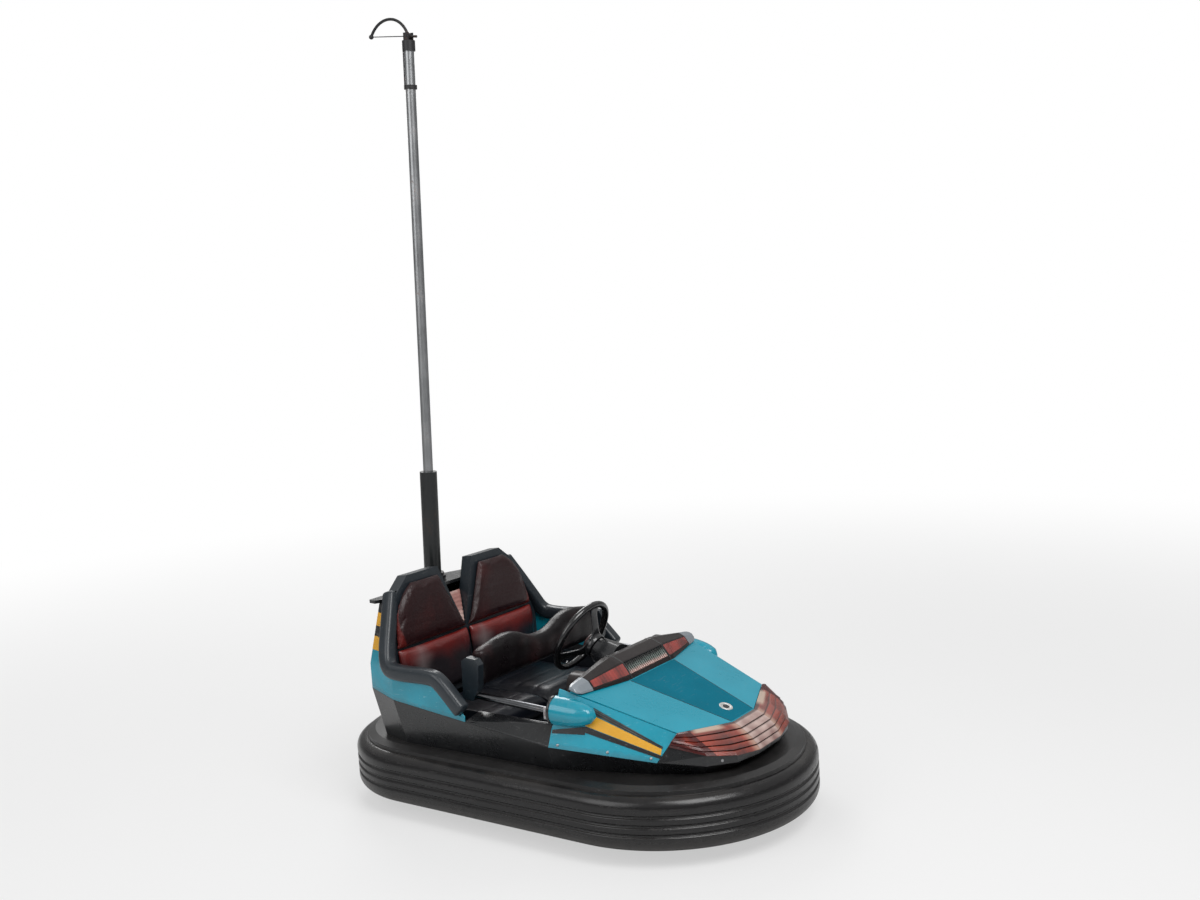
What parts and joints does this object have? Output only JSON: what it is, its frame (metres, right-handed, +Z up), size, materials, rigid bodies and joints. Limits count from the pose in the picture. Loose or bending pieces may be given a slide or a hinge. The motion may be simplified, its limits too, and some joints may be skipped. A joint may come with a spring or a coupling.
{
  "type": "bumper car",
  "caption": "Two-seat fairground bumper car with a rubber ring, faceted nose lamps, lap bar and a tall mast with a ceiling current collector.",
  "frame": {"origin": "on the floor, at the middle of the rubber bumper's length and width", "axes": "+X forward, +Y to the car's left, +Z up"},
  "size_m": [1.9598, 1.18, 3.2278],
  "materials": {
    "bumper_rubber": "matte, scuffed",
    "tyre_rubber": "matte",
    "blue_plastic": "glossy moulded plastic",
    "yellow_plastic": "glossy stripe",
    "black_plastic": "dark moulded plastic",
    "grey_plastic": "dark grey moulded plastic",
    "amber_lens": "red-orange ribbed lens",
    "clear_lens": "clear ribbed lens over a white reflector",
    "red_lens": "red lens",
    "vinyl": "maroon vinyl",
    "black_vinyl": "black vinyl",
    "frame_steel": "dark paint",
    "bare_steel": "turned steel",
    "mast_steel": "galvanised tube",
    "chrome_tube": "polished",
    "carbon": "carbon brush"
  },
  "bodies": {
    "body": {"bumper_ring": "bumper_rubber", "hood": "blue_plastic", "flanks": "blue_plastic", "pods": "blue_plastic", "sills": "blue_plastic", "quarters": "blue_plastic", "stripe_inlays": "yellow_plastic", "rear_stripes": "yellow_plastic", "bumper_shelf": "black_plastic", "base_skirt": "black_plastic", "nose_chin": "black_plastic", "dash": "black_plastic", "column_shroud": "black_plastic", "tub": "black_plastic", "rear_body": "black_plastic", "rear_deck": "black_plastic", "cowl": "grey_plastic", "cowl_grille": "grey_plastic", "bolsters": "grey_plastic", "seat_shell": "grey_plastic", "corner_lenses": "amber_lens", "nose_lens": "clear_lens", "cowl_lenses": "red_lens", "rear_lamps": "red_lens", "seat_back": "vinyl", "valley_pad": "vinyl", "seat_cushion": "black_vinyl", "chassis": "frame_steel", "rear_axle": "frame_steel", "mast_socket": "frame_steel", "mast_sleeve": "frame_steel", "collector_head": "frame_steel", "slew_ring": "bare_steel", "pedal": "bare_steel", "lap_pivots": "bare_steel", "mast_tube": "mast_steel", "contact_brush": "carbon"},
    "turret": {"turret": "frame_steel", "drive_motor": "frame_steel"},
    "drive_wheel": {"drive_hub": "bare_steel", "drive_tyre": "tyre_rubber"},
    "rear_wheel_left": {"rear_hub_left": "bare_steel", "rear_tyre_left": "tyre_rubber"},
    "rear_wheel_right": {"rear_hub_right": "bare_steel", "rear_tyre_right": "tyre_rubber"},
    "steering": {"steering_wheel": "black_plastic", "wheel_pad": "vinyl"},
    "lap_bar": {"lap_frame": "chrome_tube", "lap_brackets": "grey_plastic", "lap_pad": "black_vinyl"},
    "collector": {"collector_bow": "frame_steel"}
  },
  "joints": [
    {"name": "turret_turn", "type": "hinge", "parent": "body", "child": "turret", "pos_m": [0.632, 0, 0.1], "axis": [0, 0, 1], "continuous": true},
    {"name": "drive_spin", "type": "hinge", "parent": "turret", "child": "drive_wheel", "pos_m": [0.632, 0, 0.13], "axis": [0, 1, 0], "continuous": true},
    {"name": "rear_spin_left", "type": "hinge", "parent": "body", "child": "rear_wheel_left", "pos_m": [-0.55, 0.38, 0.1], "axis": [0, 1, 0], "continuous": true},
    {"name": "rear_spin_right", "type": "hinge", "parent": "body", "child": "rear_wheel_right", "pos_m": [-0.55, -0.38, 0.1], "axis": [0, 1, 0], "continuous": true},
    {"name": "steering_turn", "type": "hinge", "parent": "body", "child": "steering", "pos_m": [0.009, 0, 0.66], "axis": [-0.8829, 0, 0.4695], "continuous": true},
    {"name": "lap_bar_raise", "type": "hinge", "parent": "body", "child": "lap_bar", "pos_m": [0.165, 0, 0.487], "axis": [0, 1, 0], "range_deg": [0, 65]},
    {"name": "collector_tilt", "type": "hinge", "parent": "body", "child": "collector", "pos_m": [-0.68147, 0, 3.13696], "axis": [0, -1, 0], "range_deg": [0, 25], "stiffness_Nm_per_rad": 5, "springref_deg": -28.65}
  ],
  "couplings": [
    {"joint": "steering_turn", "follows": "turret_turn", "ratio": 2}
  ]
}
